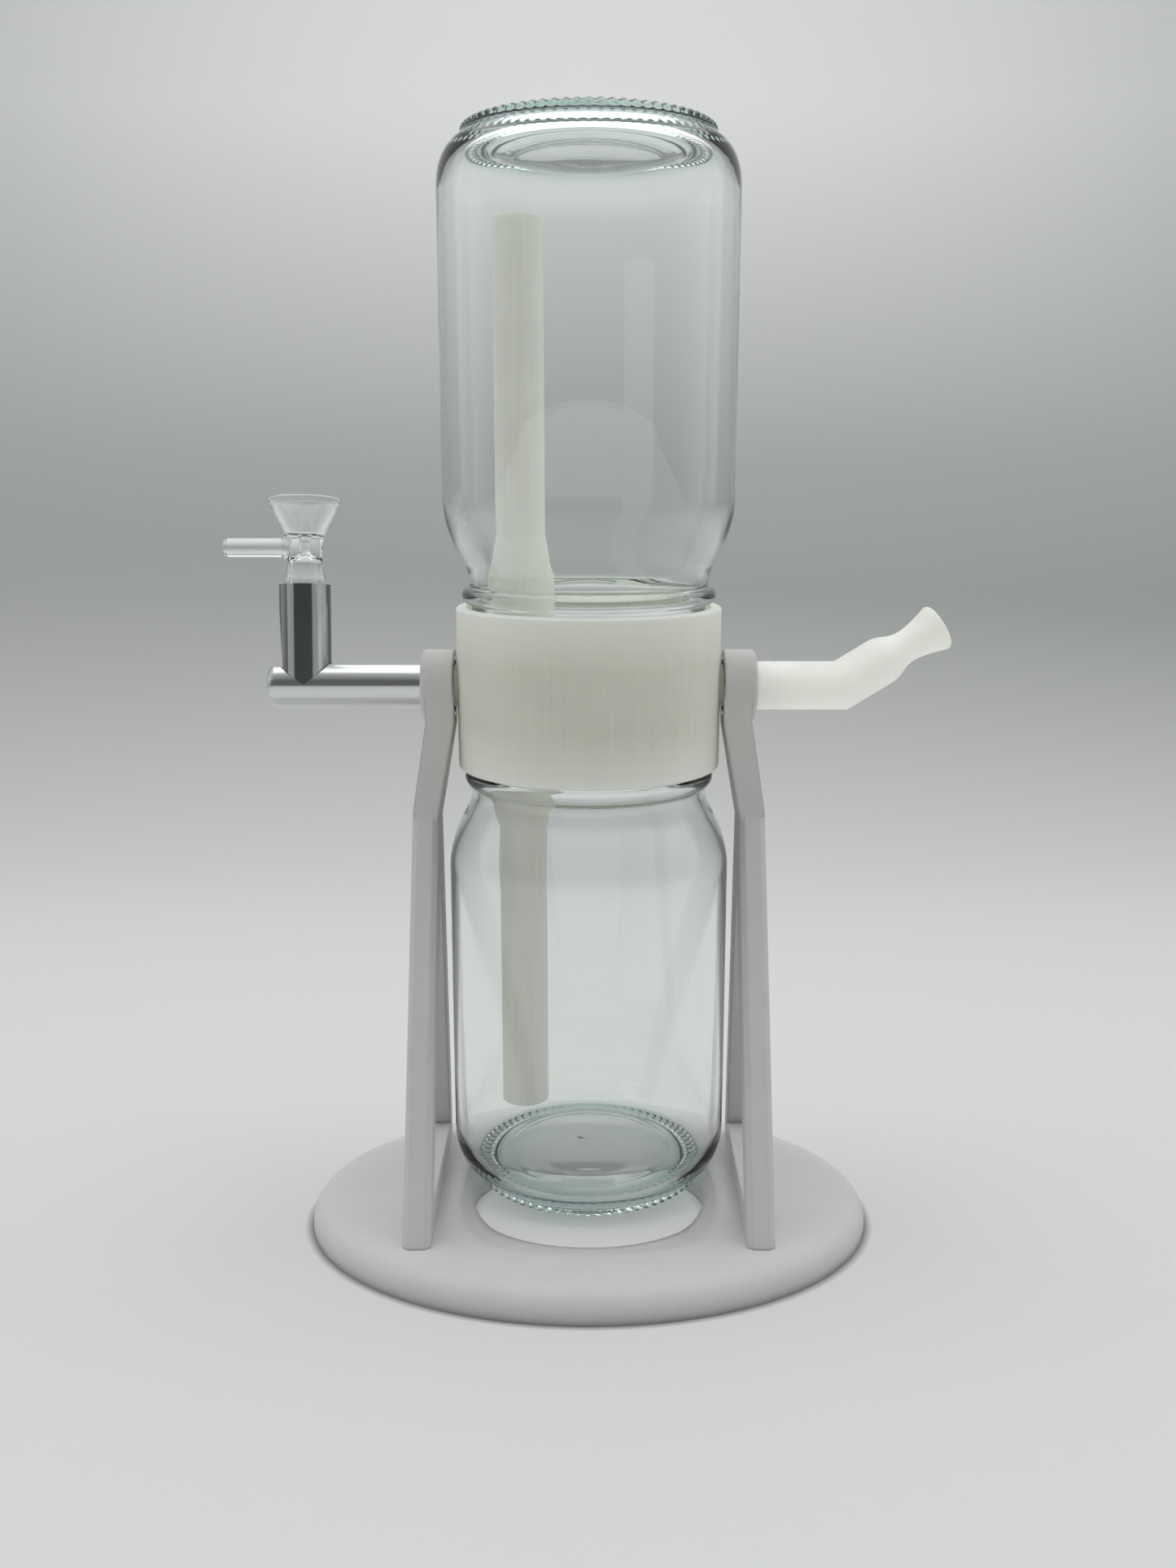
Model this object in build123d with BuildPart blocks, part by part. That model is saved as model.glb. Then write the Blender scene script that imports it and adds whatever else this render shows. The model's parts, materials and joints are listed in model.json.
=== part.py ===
from build123d import *
from math import cos, radians, sin, sqrt
import os

# Rotating two-jar gravity water pipe. Millimetres, +Z up, X along the turning axle.
# Origin: on the table, under the middle of the axle. The bowl is on -X, the mouthpiece on +X.
os.makedirs("parts", exist_ok=True)

# ---------------------------------------------------------------- driving dimensions
table_gap = 1.5912          # between the table and a swinging jar
rotor_lean = 9.0            # degrees: the jars stand with their top tipped towards -Y
part_gap = 0.3              # free gap between pieces that move past each other
running_fit = 0.06          # radial clearance of a shaft that turns in a hole

# Base plate
base_r = 96.0
base_t = 9.0
base_edge_r = 6.5           # rounding of the upper rim
base_hole_gap = 2.3         # round the jar's standing ring
swing_clearance = 4.5       # between a swinging jar and the trough under it
trough_edge_r = 20.0
trough_gap = 8.8            # beside the jar's standing ring

# Jars
jar_r = 49.3
jar_wall = 2.8
jar_rim_at = 12.0           # rotor centre to the mouth rim
jar_foot_at = 180.0         # rotor centre to the standing ring
jar_foot_r = 38.2
mouth_wall = 2.2
finish_r = 40.2             # glass under the twist ridges
ridge_out = 1.2
ridge_h = 1.8
ridge_count = 4
ridge_span = 50.0           # degrees each
bead_out = 3.2              # beyond the finish
bead_at = 31.5
bead_h = 4.8
neck_out_by = 0.5           # beyond the finish
neck_end_at = 37.0
shoulder_end_at = 63.0
heel_h = 20.0               # from the end of the straight side to the standing ring
push_up = 7.0               # height of the hollow under the jar
heel_drop = 1.0             # the inside of the heel lies this far under the floor's edge
shoulder_slope = 0.35       # sideways run per height where shoulder and foot begin
heel_slope = 0.25           # the same inside the heel

# Coupling
coupling_wall = 3.5         # round the sockets
coupling_half_h = 27.6
coupling_edge = 0.6
ridge_gap = 0.6             # between the jar's ridges and the socket wall
divider_half_t = 11.0
gasket_t = 0.7
lug_below_rim = 10.5        # from a jar's rim to the middle of its lugs
lug_in = 1.5                # how far a lug reaches in from the socket wall
lug_h = 2.0
lug_span = 30.0             # degrees each
orifice_r = 2.5

# Down tubes
tube_offset = 23.3          # from the rotor's long axis, towards the bowl
down_tube_r = 8.4
down_tube_wall = 1.6
down_tube_stop = 26.5        # from the tube's open end to the standing ring
collar_r = 11.4
collar_end_at = 38.0
flare_end_at = 50.0

# Bearings, 12 x 21 x 5
bearing_bore_r = 6.0
bearing_section = 4.5       # from bore to outer surface
bearing_w = 5.0
race_t = 1.35
ball_r = 1.15
ball_count = 12
cage_t = 0.9
groove_gap = 0.06

# Supports
boss_wall = 2.0             # round the bearing
boss_gap = 1.0              # between the coupling and each boss
boss_t = 11.1
boss_edge_r = 1.5
neck_y = 11.6               # half width of the neck at the axle
lean_from = 13.0            # below the axle, where the neck starts to lean away from the rotor
leg_gap = 2.5               # between a jar and the legs at y = 0
leg_t = 8.8
leg_toe = 2.1               # degrees: the two frames stand a little closer at the front
knee_drop = 44.6            # below the axle, where the legs turn upright and part
knee_y = 13.0
leg_foot_y = 62.0
leg_foot_w = 13.0
rail_h = 8.0
window_drop = 69.6          # below the axle, the top of the opening between the legs
window_top_half_w = 3.0
window_round = 2.4
leg_edge = 1.8              # broken edges down the outer side of each leg
tenon_d = 4.0
tenon_margin = 2.5
tenon_gap = 0.15

# Axle pieces
trunnion_fit = 0.04         # in the bearing
trunnion_bore_r = 4.2
trunnion_reach = 65.0       # |x| of the hollow trunnion's end
shoulder_out = 1.2          # beyond the trunnion's bearing
valve_port_r = 2.4
spindle_wall = 1.5
spindle_tip = 15.0          # |x| of the closed inner end of a valve spindle
plug_gap = 1.0
plug_len = 6.0
port_slot_w = 3.2
port_slot_l = 8.0

# Inlet arm
stub_gap = 0.54             # between a trunnion and the tube over it
inlet_wall = 1.5
inlet_end = 110.8           # |x| of the rounded outer end
inlet_round = 3.2
sleeve_x = 98.2
sleeve_r = 9.1
sleeve_top = 34.6           # above the axle
sleeve_cut_top = 9.1        # left side of the sleeve is ground to a slant
sleeve_cut_low = 6.6
vee_left = (-106.3, 6.2)    # x and height above the axle of the joint's left corner
vee_tip = (-97.4, 0)
vee_right = (-88.9, 8.2)
vee_side = 4.0              # how far the joint's cut runs on past each corner
vee_glue = 0.05

# Bowl
taper_r = 7.04              # at the sleeve's mouth
taper_len = 22.0
taper_slope = 0.05          # radius lost per length: a 1:10 taper
bowl_rim_r = 13.1
bowl_rim_at = 64.3
cone_low_r = 6.9
cone_low_at = 49.7
stem_neck_r = 6.0
stem_neck_at = 45.3
stem_collar_h = 2.0         # full width of the stem above the sleeve
cone_foot_h = 1.0
bowl_wall = 1.7
bowl_hole_r = 2.2
handle_r = 3.2
handle_at = 47.6
handle_end = 126.2
handle_round = 1.0

# Mouthpiece
mouth_start = 58.0
mouth_bend_x = 87.6
mouth_rise = 31.0           # degrees
mouth_end_x = 126.2         # outermost point of the lip
mouth_bore_r = 4.2
waist_r = 6.3
waist_at = 17.5             # along the slope, back from the lip
waist_from = 23.5           # where the straight bore's wall starts to narrow
waist_slope = (1, -0.1)     # direction of the outline where it starts to narrow
flare_slope = (1, 0.3)      # and where it meets the lip
socket_wall = 1.9
lip_r = 8.3
lip_round = 1.6

# ---------------------------------------------------------------- shared frames
# Sizes that follow from the ones above.
swing_r = sqrt(jar_foot_at**2 + jar_foot_r**2)
axle_height = swing_r + table_gap
base_hole_r = jar_foot_r + base_hole_gap
trough_half_w = jar_foot_r + trough_gap
heel_start_at = jar_foot_at - heel_h
down_tube_end_at = jar_foot_at - down_tube_stop
jar_mouth_r = finish_r - mouth_wall
bead_r = finish_r + bead_out
neck_r = finish_r + neck_out_by
socket_r = finish_r + ridge_out + ridge_gap
coupling_r = socket_r + coupling_wall
bearing_out_r = bearing_bore_r + bearing_section
boss_r = bearing_out_r + boss_wall
boss_in = coupling_r + boss_gap
boss_out = boss_in + boss_t
leg_in = jar_r + leg_gap
trunnion_r = bearing_bore_r - trunnion_fit
shoulder_r = bearing_bore_r + shoulder_out
inlet_r = trunnion_r + stub_gap + inlet_wall
mouth_r = trunnion_r + stub_gap + socket_wall

lean = radians(rotor_lean)
rotor_centre = (0, 0, axle_height)
rotor_up = (0, -sin(lean), cos(lean))
rotor_axis = Axis(rotor_centre, rotor_up)
axle_axis = Axis(rotor_centre, (1, 0, 0))
# Sketch planes: x runs along the axle, y along the rotor's long axis or straight up.
rotor_face = Plane(origin=rotor_centre, x_dir=(1, 0, 0), z_dir=(0, -cos(lean), -sin(lean)))
axle_face = Plane(origin=rotor_centre, x_dir=(1, 0, 0), z_dir=(0, -1, 0))
sides = {"left": -1, "right": 1}
ends = {"upper": 1, "lower": -1}


def rotor_deck(height):
    """Plane across the rotor's long axis, at a height above the axle."""
    return Plane(origin=rotor_centre, x_dir=(1, 0, 0), z_dir=rotor_up).offset(height)


def save(piece, name):
    piece.part.label = name
    export_step(piece.part, f"parts/{name}.step")


# ---------------------------------------------------------------- base plate
trough_r = swing_r + swing_clearance
tenon_len = 2 * (leg_foot_y - leg_foot_w)
tenon_t = leg_t - 2 * tenon_margin
leg_mid = leg_in + leg_t / 2

with BuildPart() as base_plate:
    with BuildSketch(Plane.XZ):
        with BuildLine():
            Polyline((0, 0), (base_r, 0), (base_r, base_t - base_edge_r))
            RadiusArc((base_r, base_t - base_edge_r), (base_r - base_edge_r, base_t), -base_edge_r)
            Polyline((base_r - base_edge_r, base_t), (0, base_t), (0, 0))
        make_face()
    revolve(axis=Axis.Z)
    with BuildSketch(Plane.XY):
        Circle(base_hole_r)
    extrude(amount=base_t, mode=Mode.SUBTRACT)
    # Trough that the end of a swinging jar passes through, turned about the axle.
    with BuildSketch(axle_face) as trough:
        Circle(trough_r)
        Rectangle(2 * trough_half_w, 2 * trough_r, mode=Mode.INTERSECT)
        fillet(trough.vertices(), trough_edge_r)
        Rectangle(2 * trough_half_w, trough_r, align=(Align.CENTER, Align.MAX), mode=Mode.INTERSECT)
    revolve(axis=axle_axis, mode=Mode.SUBTRACT)
    # Pockets for the tenons under the supports.
    with BuildSketch(Plane.XY.offset(base_t)):
        for s in sides.values():
            with Locations((s * leg_mid, 0)):
                Rectangle(tenon_t + 2 * tenon_gap, tenon_len + 2 * tenon_gap, rotation=-s * leg_toe)
    extrude(amount=-tenon_d - tenon_gap, mode=Mode.SUBTRACT)
save(base_plate, "base_plate")

# ---------------------------------------------------------------- supports
leg_out = leg_in + leg_t
knee_height = axle_height - knee_drop
window_top = axle_height - window_drop
neck_out = boss_out - boss_edge_r


def frame_edge_y(height):
    """Outer edge of a frame in Y: nearly upright down to the knee, then spreading to the foot."""
    if height > knee_height:
        return neck_y + (knee_y - neck_y) * (axle_height - height) / (axle_height - knee_height)
    return knee_y + (leg_foot_y - knee_y) * (knee_height - height) / (knee_height - base_t)


def on_frame_edge(edge):
    middle = edge.center()
    return abs(abs(middle.Y) - frame_edge_y(middle.Z)) < part_gap / 10


for side, s in sides.items():
    with BuildPart() as legs:
        # Side view: a neck under the boss, two legs that part below the knee, and a bottom rail.
        with BuildSketch(Plane.YZ):
            with BuildLine():
                Polyline((-neck_y, axle_height), (-knee_y, knee_height), (-leg_foot_y, base_t),
                         (leg_foot_y, base_t), (knee_y, knee_height), (neck_y, axle_height), close=True)
            make_face()
            window_low_half_w = frame_edge_y(base_t + rail_h) - leg_foot_w
            with BuildSketch(Plane.XY, mode=Mode.PRIVATE) as window:
                with BuildLine():
                    Polyline((-window_top_half_w, window_top), (-window_low_half_w, base_t + rail_h),
                             (window_low_half_w, base_t + rail_h), (window_top_half_w, window_top),
                             close=True)
                make_face()
                fillet(window.vertices().group_by(Axis.Y)[-1], window_round)
            add(window.sketch, mode=Mode.SUBTRACT)
        extrude(amount=leg_out + leg_t, both=True)
        # Front view: upright below the knee, leaning in above it to meet the boss.
        with BuildSketch(Plane.XZ):
            with BuildLine():
                Polyline((s * leg_in, base_t), (s * leg_in, knee_height),
                         (s * boss_in, axle_height - lean_from), (s * boss_in, axle_height),
                         (s * neck_out, axle_height), (s * neck_out, axle_height - lean_from),
                         (s * leg_out, knee_height), (s * leg_out, base_t), close=True)
            make_face()
        extrude(amount=base_r, both=True, mode=Mode.INTERSECT)
        legs_only = legs.edges().filter_by(on_frame_edge).filter_by(
            lambda e: e.center().Z < knee_height and abs((e @ 1 - e @ 0).Z) > leg_edge)
        chamfer(legs_only, leg_edge)
    with BuildPart() as support:
        with BuildSketch(Plane.YZ.offset(s * boss_in)):
            with Locations((0, axle_height)):
                Circle(boss_r)
        extrude(amount=s * (boss_out - boss_in))
        fillet(support.faces().sort_by(Axis.X)[0 if s < 0 else -1].edges(), boss_edge_r)
        add(legs.part.rotate(Axis((s * leg_mid, 0, 0), (0, 0, 1)), -s * leg_toe))
        # Bearing seat from the inner face, then a smaller hole for the trunnion.
        with BuildSketch(Plane.YZ.offset(s * (boss_in - part_gap))):
            with Locations((0, axle_height)):
                Circle(bearing_out_r)
        extrude(amount=s * (bearing_w + part_gap), mode=Mode.SUBTRACT)
        with BuildSketch(Plane.YZ.offset(s * boss_in)):
            with Locations((0, axle_height)):
                Circle(bearing_out_r - race_t)
        extrude(amount=s * (boss_out - boss_in), mode=Mode.SUBTRACT)
        with BuildSketch(Plane.XY.offset(base_t)):
            with Locations((s * leg_mid, 0)):
                Rectangle(tenon_t, tenon_len, rotation=-s * leg_toe)
        extrude(amount=-tenon_d)
    save(support, f"{side}_support")

# ---------------------------------------------------------------- bearings
pitch_r = (bearing_bore_r + bearing_out_r) / 2
groove_r = ball_r + groove_gap

for side, s in sides.items():
    bearing_mid = s * (boss_in + bearing_w / 2)
    bearing_low = bearing_mid - bearing_w / 2
    with BuildPart() as outer_race:
        with BuildSketch(axle_face):
            with Locations((bearing_low, bearing_out_r - race_t)):
                Rectangle(bearing_w, race_t, align=Align.MIN)
            with Locations((bearing_mid, pitch_r)):
                Circle(groove_r, mode=Mode.SUBTRACT)
        revolve(axis=axle_axis)
    save(outer_race, f"{side}_bearing_outer_race")

    with BuildPart() as inner_race:
        with BuildSketch(axle_face):
            with Locations((bearing_low, bearing_bore_r)):
                Rectangle(bearing_w, race_t, align=Align.MIN)
            with Locations((bearing_mid, pitch_r)):
                Circle(groove_r, mode=Mode.SUBTRACT)
        revolve(axis=axle_axis)
    save(inner_race, f"{side}_bearing_inner_race")

    # Cage: a ring in the gap between the races, with a round pocket for each ball.
    with BuildPart() as cage:
        with BuildSketch(axle_face):
            with Locations((bearing_mid, pitch_r)):
                Rectangle(bearing_w - 2 * part_gap, cage_t)
        revolve(axis=axle_axis)
        with Locations(Plane(origin=(bearing_mid, 0, axle_height), z_dir=(1, 0, 0))):
            with PolarLocations(pitch_r, ball_count):
                Cylinder(ball_r + running_fit, bearing_w, rotation=(0, 90, 0), mode=Mode.SUBTRACT)
    save(cage, f"{side}_bearing_cage")

    with BuildPart() as balls:
        with Locations(Plane(origin=(bearing_mid, 0, axle_height), z_dir=(1, 0, 0))):
            with PolarLocations(pitch_r, ball_count):
                Sphere(ball_r)
    save(balls, f"{side}_bearing_balls")

# ---------------------------------------------------------------- coupling with its trunnions
spindle_r = trunnion_bore_r - running_fit
lug_at = jar_rim_at + lug_below_rim
lug_root_r = (socket_r + coupling_r) / 2
ridge_at = lug_at - lug_h / 2 - part_gap - ridge_h / 2

with BuildPart() as coupling_body:
    with BuildSketch(rotor_deck(-coupling_half_h)):
        Circle(coupling_r)
    extrude(amount=2 * coupling_half_h)
    chamfer(coupling_body.edges().filter_by(GeomType.CIRCLE), coupling_edge)
    # A threaded socket at each end, with the divider left between them.
    for e in ends.values():
        with BuildSketch(rotor_deck(e * divider_half_t)):
            Circle(socket_r)
        extrude(amount=e * (coupling_half_h - divider_half_t), mode=Mode.SUBTRACT)
        with BuildSketch(rotor_deck(e * lug_at - lug_h / 2)):
            with BuildLine():
                for turn in range(ridge_count):
                    mid = turn * 360 / ridge_count
                    start = mid - lug_span / 2
                    inner_arc = CenterArc((0, 0), socket_r - lug_in, start, lug_span)
                    outer_arc = CenterArc((0, 0), lug_root_r, start, lug_span)
                    Line(inner_arc @ 0, outer_arc @ 0)
                    Line(inner_arc @ 1, outer_arc @ 1)
            make_face()
        extrude(amount=lug_h)
    # Shoulders that rest on the bearings, and the hollow trunnions through them.
    with BuildSketch(Plane.YZ.offset(-boss_in)):
        with Locations((0, axle_height)):
            Circle(shoulder_r)
    extrude(amount=2 * boss_in)
    with BuildSketch(Plane.YZ.offset(-trunnion_reach)):
        with Locations((0, axle_height)):
            Circle(trunnion_r)
    extrude(amount=2 * trunnion_reach)
    for s in sides.values():
        with BuildSketch(Plane.YZ.offset(s * trunnion_reach)):
            with Locations((0, axle_height)):
                Circle(trunnion_bore_r)
        extrude(amount=-s * (trunnion_reach - spindle_tip + part_gap), mode=Mode.SUBTRACT)
    # Passages through the divider: tube seats, free ports and the water orifice.
    with BuildSketch(rotor_deck(-divider_half_t)):
        with Locations((-tube_offset, 0), (tube_offset, 0)):
            Circle(valve_port_r)
        Circle(orifice_r)
    extrude(amount=2 * divider_half_t, mode=Mode.SUBTRACT)
save(coupling_body, "coupling_body")

# ---------------------------------------------------------------- down tubes, gaskets and jars
for end, e in ends.items():
    with BuildPart() as down_tube:
        seat = e * divider_half_t
        with BuildSketch(rotor_face):
            with BuildLine():
                Polyline((-tube_offset, seat), (-tube_offset - collar_r, seat),
                         (-tube_offset - collar_r, e * collar_end_at),
                         (-tube_offset - down_tube_r, e * flare_end_at),
                         (-tube_offset - down_tube_r, e * down_tube_end_at),
                         (-tube_offset, e * down_tube_end_at), close=True)
            make_face()
        tube_axis = Axis(rotor_face.from_local_coords(Vector(-tube_offset, 0, 0)), rotor_up)
        revolve(axis=tube_axis)
        with BuildSketch(rotor_deck(seat)):
            with Locations((-tube_offset, 0)):
                Circle(down_tube_r - down_tube_wall)
        extrude(amount=e * (down_tube_end_at - divider_half_t), mode=Mode.SUBTRACT)
    save(down_tube, f"{end}_down_tube")

    with BuildPart() as gasket:
        with BuildSketch(rotor_deck(e * divider_half_t)):
            Circle(socket_r - part_gap)
            Circle(jar_mouth_r, mode=Mode.SUBTRACT)
        extrude(amount=e * gasket_t)
    save(gasket, f"{end}_jar_gasket")

    with BuildPart() as jar:
        # Half section of the glass, from the rim out over the bead and shoulder to the foot.
        inner_r = jar_r - jar_wall
        inner_foot_r = jar_foot_r - jar_wall
        floor_at = jar_foot_at - jar_wall
        lip = (finish_r - jar_mouth_r) / 2
        with BuildSketch(rotor_face):
            with BuildLine():
                Line((jar_mouth_r, e * (jar_rim_at + lip)), (jar_mouth_r, e * neck_end_at))
                ThreePointArc((jar_mouth_r, e * (jar_rim_at + lip)),
                              (jar_mouth_r + lip, e * jar_rim_at),
                              (finish_r, e * (jar_rim_at + lip)))
                Line((finish_r, e * (jar_rim_at + lip)), (finish_r, e * (bead_at - bead_h / 2)))
                ThreePointArc((finish_r, e * (bead_at - bead_h / 2)), (bead_r, e * bead_at),
                              (neck_r, e * (bead_at + bead_h / 2)))
                Line((neck_r, e * (bead_at + bead_h / 2)), (neck_r, e * neck_end_at))
                Spline((neck_r, e * neck_end_at), (jar_r, e * shoulder_end_at),
                       tangents=[(shoulder_slope, e), (0, e)])
                Line((jar_r, e * shoulder_end_at), (jar_r, e * heel_start_at))
                Spline((jar_r, e * heel_start_at), (jar_foot_r, e * jar_foot_at),
                       tangents=[(0, e), (-1, shoulder_slope * e)])
                TangentArc((0, e * (jar_foot_at - push_up)), (jar_foot_r, e * jar_foot_at), tangent=(1, 0))
                Line((0, e * (jar_foot_at - push_up)), (0, e * (floor_at - push_up)))
                TangentArc((0, e * (floor_at - push_up)), (inner_foot_r, e * (floor_at - heel_drop)),
                           tangent=(1, 0))
                Spline((inner_foot_r, e * (floor_at - heel_drop)), (inner_r, e * heel_start_at),
                       tangents=[(1, -heel_slope * e), (0, -e)])
                Line((inner_r, e * heel_start_at), (inner_r, e * shoulder_end_at))
                Spline((inner_r, e * shoulder_end_at), (jar_mouth_r, e * neck_end_at),
                       tangents=[(0, -e), (-shoulder_slope, -e)])
            make_face()
        revolve(axis=rotor_axis)
        # Twist ridges round the finish: the coupling's lugs catch behind them.
        with BuildSketch(rotor_deck(e * ridge_at - ridge_h / 2)):
            with BuildLine():
                for turn in range(ridge_count):
                    start = turn * 360 / ridge_count - ridge_span / 2
                    inner_arc = CenterArc((0, 0), finish_r - ridge_out / 2, start, ridge_span)
                    outer_arc = CenterArc((0, 0), finish_r + ridge_out, start, ridge_span)
                    Line(inner_arc @ 0, outer_arc @ 0)
                    Line(inner_arc @ 1, outer_arc @ 1)
            make_face()
        extrude(amount=ridge_h)
    save(jar, f"{end}_jar")

# ---------------------------------------------------------------- valve spindles
spindle_bore_r = spindle_r - spindle_wall
plug_start = trunnion_reach + plug_gap
plug_r = {"inlet": inlet_r - inlet_wall, "outlet": mouth_r - socket_wall}

for name, s, port_up in (("inlet", -1, 1), ("outlet", 1, -1)):
    with BuildPart() as spindle:
        with BuildSketch(Plane.YZ.offset(s * spindle_tip)):
            with Locations((0, axle_height)):
                Circle(spindle_r)
        extrude(amount=s * (plug_start + plug_len - spindle_tip))
        with BuildSketch(Plane.YZ.offset(s * plug_start)):
            with Locations((0, axle_height)):
                Circle(plug_r[name])
        extrude(amount=s * plug_len)
        with BuildSketch(Plane.YZ.offset(s * (plug_start + plug_len))):
            with Locations((0, axle_height)):
                Circle(spindle_bore_r)
        extrude(amount=-s * (plug_start + plug_len - spindle_tip - spindle_wall), mode=Mode.SUBTRACT)
        # Slot in one side only: it opens the passage of whichever jar stands that way.
        with BuildSketch(Plane.XY.offset(axle_height)):
            with Locations((s * tube_offset, 0)):
                Rectangle(port_slot_l, port_slot_w)
        extrude(amount=port_up * spindle_r, mode=Mode.SUBTRACT)
    save(spindle, f"{name}_valve_spindle")

# ---------------------------------------------------------------- inlet arm
vee_top = sleeve_top + vee_side


def vee_outline(inset):
    """The joint's V, seen from the front: everything above it belongs to the sleeve."""
    return [(vee_tip[0], vee_tip[1] + inset), (vee_right[0], vee_right[1] + inset),
            (vee_right[0] + vee_side, vee_right[1] + inset), (vee_right[0] + vee_side, vee_top),
            (vee_left[0] - vee_side, vee_top), (vee_left[0] - vee_side, vee_left[1] + inset),
            (vee_left[0], vee_left[1] + inset)]


with BuildPart() as inlet_tube:
    with BuildSketch(Plane.YZ.offset(-boss_out - part_gap)):
        with Locations((0, axle_height)):
            Circle(inlet_r)
    extrude(amount=-(inlet_end - boss_out - part_gap))
    fillet(inlet_tube.faces().sort_by(Axis.X)[0].edges(), inlet_round)
    with BuildSketch(Plane.YZ.offset(-boss_out - part_gap)):
        with Locations((0, axle_height)):
            Circle(inlet_r - inlet_wall)
    extrude(amount=-(inlet_end - boss_out - part_gap - inlet_wall), mode=Mode.SUBTRACT)
    with BuildSketch(axle_face):
        with BuildLine():
            Polyline(*vee_outline(-vee_glue), close=True)
        make_face()
    extrude(amount=2 * sleeve_r, both=True, mode=Mode.SUBTRACT)
save(inlet_tube, "inlet_tube")

sleeve_bore_low = sleeve_top - taper_len
with BuildPart() as joint_sleeve:
    with BuildSketch(Plane.XY.offset(axle_height)):
        with Locations((-sleeve_x, 0)):
            Circle(sleeve_r)
    extrude(amount=sleeve_top)
    with BuildSketch(axle_face):
        with BuildLine():
            Polyline(*vee_outline(vee_glue), close=True)
        make_face()
    extrude(amount=2 * sleeve_r, both=True, mode=Mode.INTERSECT)
    # The side away from the stand is ground to a slant.
    with BuildSketch(axle_face):
        with BuildLine():
            Polyline((-sleeve_x - sleeve_cut_top, sleeve_top), (-sleeve_x - sleeve_cut_low, 0),
                     (-sleeve_x - 2 * sleeve_r, 0), (-sleeve_x - 2 * sleeve_r, sleeve_top), close=True)
        make_face()
    extrude(amount=2 * sleeve_r, both=True, mode=Mode.SUBTRACT)
    # Ground taper for the bowl, and the passage below it down into the tube.
    with BuildSketch(axle_face):
        with BuildLine():
            Polyline((-sleeve_x, sleeve_top), (-sleeve_x - taper_r - running_fit, sleeve_top),
                     (-sleeve_x - taper_r - running_fit + taper_slope * taper_len, sleeve_bore_low),
                     (-sleeve_x, sleeve_bore_low), close=True)
        make_face()
    revolve(axis=Axis((-sleeve_x, 0, 0), (0, 0, 1)), mode=Mode.SUBTRACT)
    with BuildSketch(Plane.XY.offset(axle_height)):
        with Locations((-sleeve_x, 0)):
            Circle(spindle_r)
    extrude(amount=sleeve_top, mode=Mode.SUBTRACT)
save(joint_sleeve, "joint_sleeve")

# ---------------------------------------------------------------- bowl
stem_low = sleeve_top - taper_len + part_gap
stem_low_r = taper_r - taper_slope * (sleeve_top - stem_low)
stem_bulge_at = sleeve_top + stem_collar_h
with BuildPart() as glass_bowl:
    with BuildSketch(axle_face):
        with BuildLine():
            Polyline((-sleeve_x, stem_low), (-sleeve_x - stem_low_r, stem_low),
                     (-sleeve_x - taper_r, sleeve_top), (-sleeve_x - taper_r, stem_bulge_at),
                     (-sleeve_x - stem_neck_r, stem_neck_at),
                     (-sleeve_x - stem_neck_r, cone_low_at - cone_foot_h), (-sleeve_x - cone_low_r, cone_low_at),
                     (-sleeve_x - bowl_rim_r, bowl_rim_at),
                     (-sleeve_x, bowl_rim_at), close=True)
        make_face()
    revolve(axis=Axis((-sleeve_x, 0, 0), (0, 0, 1)))
    with BuildSketch(Plane.YZ.offset(-sleeve_x)):
        with Locations((0, axle_height + handle_at)):
            Circle(handle_r)
    extrude(amount=-(handle_end - sleeve_x))
    fillet(glass_bowl.faces().sort_by(Axis.X)[0].edges(), handle_round)
    # The cup, its draught hole and the wider passage down the stem.
    with BuildSketch(axle_face):
        with BuildLine():
            Polyline((-sleeve_x, cone_low_at + bowl_wall),
                     (-sleeve_x - cone_low_r + bowl_wall, cone_low_at + bowl_wall),
                     (-sleeve_x - bowl_rim_r + bowl_wall, bowl_rim_at), (-sleeve_x, bowl_rim_at),
                     close=True)
        make_face()
    revolve(axis=Axis((-sleeve_x, 0, 0), (0, 0, 1)), mode=Mode.SUBTRACT)
    with BuildSketch(Plane.XY.offset(axle_height + stem_low)):
        with Locations((-sleeve_x, 0)):
            Circle(stem_neck_r - bowl_wall)
    extrude(amount=stem_neck_at - stem_low, mode=Mode.SUBTRACT)
    with BuildSketch(Plane.XY.offset(axle_height + stem_low)):
        with Locations((-sleeve_x, 0)):
            Circle(bowl_hole_r)
    extrude(amount=bowl_rim_at - stem_low, mode=Mode.SUBTRACT)
save(glass_bowl, "glass_bowl")

# ---------------------------------------------------------------- mouthpiece
rise = radians(mouth_rise)
slope_len = (mouth_end_x - mouth_bend_x - lip_r * sin(rise)) / cos(rise)
slope_dir = (cos(rise), 0, sin(rise))
bend_point = (mouth_bend_x, 0, axle_height)
slope_face = Plane(origin=bend_point, x_dir=slope_dir, z_dir=(0, -1, 0))
slope_axis = Axis(bend_point, slope_dir)
socket_depth = plug_start + plug_len - mouth_start
low = slope_len - waist_from       # end of the straight part of the slope

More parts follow.
